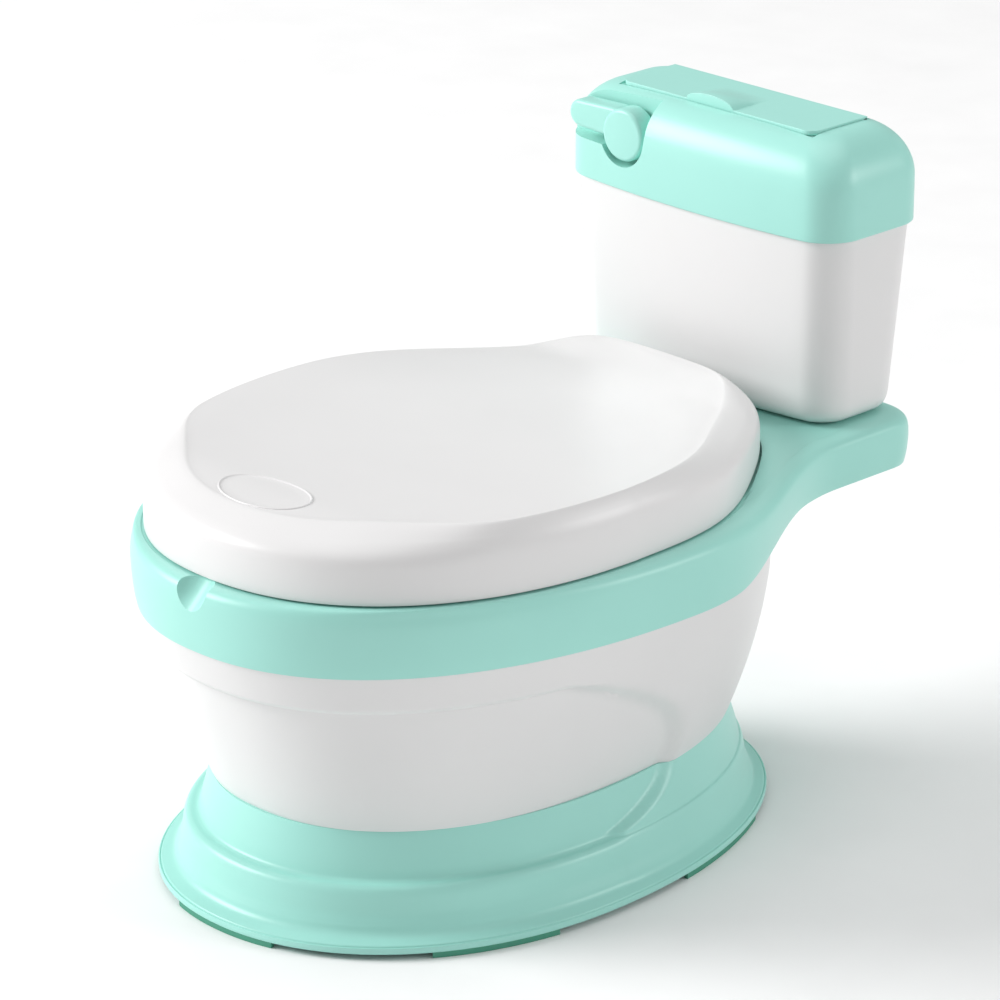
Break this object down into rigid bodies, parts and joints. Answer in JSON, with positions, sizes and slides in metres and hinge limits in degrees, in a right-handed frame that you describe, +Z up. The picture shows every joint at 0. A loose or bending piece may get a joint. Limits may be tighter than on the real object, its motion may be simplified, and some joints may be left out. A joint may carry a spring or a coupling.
{
  "type": "potty training chair",
  "caption": "Toddler potty shaped like a toilet: stepped oval pedestal, bowl with rim and lift-out pot, hinged dished lid, rear tank with press lever and storage flap.",
  "frame": {"origin": "centre of the whole footprint, on the floor under the pads", "axes": "+Z up, the front of the seat towards -Y, the tank at +Y, the lever on the -X side of the tank"},
  "size_m": [0.27, 0.408, 0.344],
  "materials": {
    "mint_plastic": "satin moulded",
    "white_plastic": "satin moulded",
    "grip_rubber": "matt moulded",
    "grey_plastic": "fine texture",
    "black_plastic": "fine texture",
    "circuit_board": "solder mask",
    "plated_steel": "zinc plated"
  },
  "bodies": {
    "stand": {"base_pedestal": "mint_plastic", "foot_pads": "grip_rubber", "base_screws": "plated_steel", "bowl_body": "white_plastic", "rim_deck": "mint_plastic", "hinge_pins": "plated_steel", "seat_ring": "white_plastic", "tank_body": "white_plastic", "tank_screws": "plated_steel"},
    "pot": {"inner_pot": "white_plastic"},
    "lid": {"lid": "white_plastic", "lid_emblem": "white_plastic", "lid_bumpers": "grip_rubber"},
    "cover": {"tank_lid": "mint_plastic", "wipes_box": "white_plastic", "door_pin": "plated_steel", "lever_spring": "plated_steel", "sound_housing": "grey_plastic", "sound_board": "circuit_board", "speaker": "black_plastic", "batteries": "plated_steel", "battery_contacts": "plated_steel", "battery_door": "grey_plastic", "battery_screw": "plated_steel", "sound_screws": "plated_steel"},
    "flap": {"wipes_door": "mint_plastic"},
    "lever": {"flush_lever": "mint_plastic", "lever_cam": "white_plastic", "cam_screw": "plated_steel"},
    "button": {"switch_button": "black_plastic"}
  },
  "joints": [
    {"name": "lid_hinge", "type": "hinge", "parent": "stand", "child": "lid", "pos_m": [0, 0.106, 0.2], "axis": [-1, 0, 0], "range_deg": [0, 88]},
    {"name": "pot_lift", "type": "slide", "parent": "stand", "child": "pot", "axis": [0, 0, 1], "range_m": [0, 0.01]},
    {"name": "cover_lift", "type": "slide", "parent": "stand", "child": "cover", "axis": [0, 0, 1], "range_m": [0, 0.08]},
    {"name": "flap_hinge", "type": "hinge", "parent": "cover", "child": "flap", "pos_m": [0, 0.186, 0.3375], "axis": [-1, 0, 0], "range_deg": [0, 100]},
    {"name": "lever_press", "type": "hinge", "parent": "cover", "child": "lever", "pos_m": [-0.0465, 0.13, 0.3185], "axis": [0, -1, 0], "range_deg": [0, 6], "stiffness_Nm_per_rad": 0.06, "springref_deg": -5.73},
    {"name": "button_travel", "type": "slide", "parent": "cover", "child": "button", "axis": [0, 0, -1], "range_m": [0, 0.0026]}
  ],
  "couplings": [
    {"joint": "button_travel", "follows": "lever_press", "m_per_rad": 0.0235}
  ]
}
